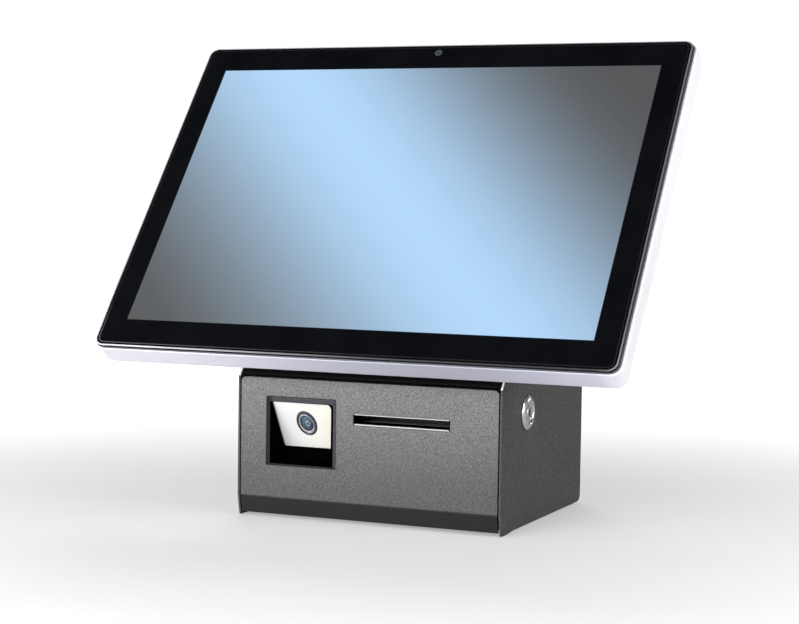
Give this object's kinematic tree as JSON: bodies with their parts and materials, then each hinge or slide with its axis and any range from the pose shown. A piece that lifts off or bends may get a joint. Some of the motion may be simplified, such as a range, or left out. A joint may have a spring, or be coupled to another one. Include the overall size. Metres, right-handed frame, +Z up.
{
  "type": "ticket vending machine",
  "caption": "Countertop self-service ticket terminal: wedge sheet-metal base with ticket slot, code scanner, side lock and a drop-down door, under a tilted touch display.",
  "frame": {"origin": "bottom centre of the bounding box, on the plane the rubber feet rest on", "axes": "+X to the right seen from the front along the display width, +Y to the back, +Z up"},
  "size_m": [0.456, 0.26, 0.4028],
  "materials": {
    "powder": "fine-textured dark grey powder coat",
    "inner_steel": "zinc-plated sheet",
    "rubber": "matte black rubber",
    "screw": "zinc-plated steel",
    "steel": "ground steel",
    "black_plastic": "matte black moulded plastic",
    "diffuser": "warm white satin diffuser",
    "lens": "grey-blue coated lens",
    "chrome": "polished",
    "platen": "ground rubber",
    "gear": "natural acetal",
    "panel": "satin",
    "paper": "thermal paper",
    "board": "solder mask",
    "glass": "cover glass with a black printed border, dark when off",
    "trim": "light satin frame",
    "white_shell": "glossy white shell"
  },
  "bodies": {
    "base": {"side_plate_left": "powder", "side_plate_right": "powder", "top_cover": "powder", "rear_panel": "powder", "display_bracket": "powder", "base_plate": "inner_steel", "printer_chassis": "inner_steel", "power_supply": "inner_steel", "foot_front_left": "rubber", "foot_front_right": "rubber", "foot_rear_left": "rubber", "foot_rear_right": "rubber", "cable_gland": "rubber", "cable_grommet": "rubber", "rear_screw_ul": "screw", "rear_screw_ur": "screw", "rear_screw_ll": "screw", "rear_screw_lr": "screw", "vesa_screw_ul": "screw", "vesa_screw_ur": "screw", "vesa_screw_ll": "screw", "vesa_screw_lr": "screw", "hinge_pin_left": "steel", "hinge_pin_right": "steel", "lock_nut": "steel", "cutter_housing": "black_plastic", "roll_spindle": "black_plastic", "power_inlet": "black_plastic", "switch_bezel": "black_plastic", "camera_module": "black_plastic", "lock_body": "chrome", "stepper_motor": "panel", "thermal_head": "panel", "lcd_module": "panel", "controller_board": "board", "display_board": "board", "glass_panel": "glass", "trim_ring": "trim", "rear_housing": "white_shell"},
    "door": {"front_door": "powder", "slot_guide": "black_plastic", "scanner_hood": "black_plastic", "scanner_diffuser": "diffuser", "scanner_lens_ring": "black_plastic", "scanner_lens": "lens", "scanner_body": "black_plastic", "door_catch": "inner_steel", "catch_pin": "steel"},
    "lock_core": {"lock_plug": "chrome", "lock_cam": "steel"},
    "platen": {"platen_roller": "platen", "platen_gear": "gear"},
    "idler": {"idler_gear": "gear"},
    "pinion": {"motor_pinion": "gear"},
    "roll": {"paper_roll": "paper"},
    "cutter": {"cutter_blade": "steel"},
    "switch_rocker": {"rocker": "black_plastic"},
    "display_button": {"power_button": "black_plastic"}
  },
  "joints": [
    {"name": "door_hinge", "type": "hinge", "parent": "base", "child": "door", "pos_m": [0, -0.06717, 0.009], "axis": [1, 0, 0], "range_deg": [0, 80]},
    {"name": "lock_turn", "type": "hinge", "parent": "base", "child": "lock_core", "pos_m": [0.107, -0.01787, 0.0947], "axis": [-1, 0, 0], "range_deg": [0, 90]},
    {"name": "platen_spin", "type": "hinge", "parent": "base", "child": "platen", "pos_m": [0.031, -0.03617, 0.0813], "axis": [1, 0, 0], "continuous": true},
    {"name": "idler_spin", "type": "hinge", "parent": "base", "child": "idler", "pos_m": [0.083, -0.03041, 0.06104], "axis": [1, 0, 0], "continuous": true},
    {"name": "pinion_spin", "type": "hinge", "parent": "base", "child": "pinion", "pos_m": [0.083, -0.03117, 0.044], "axis": [1, 0, 0], "continuous": true},
    {"name": "roll_spin", "type": "hinge", "parent": "base", "child": "roll", "pos_m": [0.031, 0.03883, 0.055], "axis": [1, 0, 0], "continuous": true},
    {"name": "cutter_stroke", "type": "slide", "parent": "base", "child": "cutter", "axis": [0, 0, -1], "range_m": [0, 0.007], "stiffness_N_per_m": 60, "springref_m": -0.004},
    {"name": "rocker_tip", "type": "hinge", "parent": "base", "child": "switch_rocker", "pos_m": [-0.034, 0.12463, 0.04], "axis": [1, 0, 0], "range_deg": [0, 16]},
    {"name": "button_press", "type": "slide", "parent": "base", "child": "display_button", "axis": [0, -0.7909, 0.612], "range_m": [0, 0.0012], "stiffness_N_per_m": 300, "springref_m": -0.001}
  ],
  "couplings": [
    {"joint": "idler_spin", "follows": "platen_spin", "ratio": -0.90909},
    {"joint": "pinion_spin", "follows": "platen_spin", "ratio": 1.6667}
  ]
}
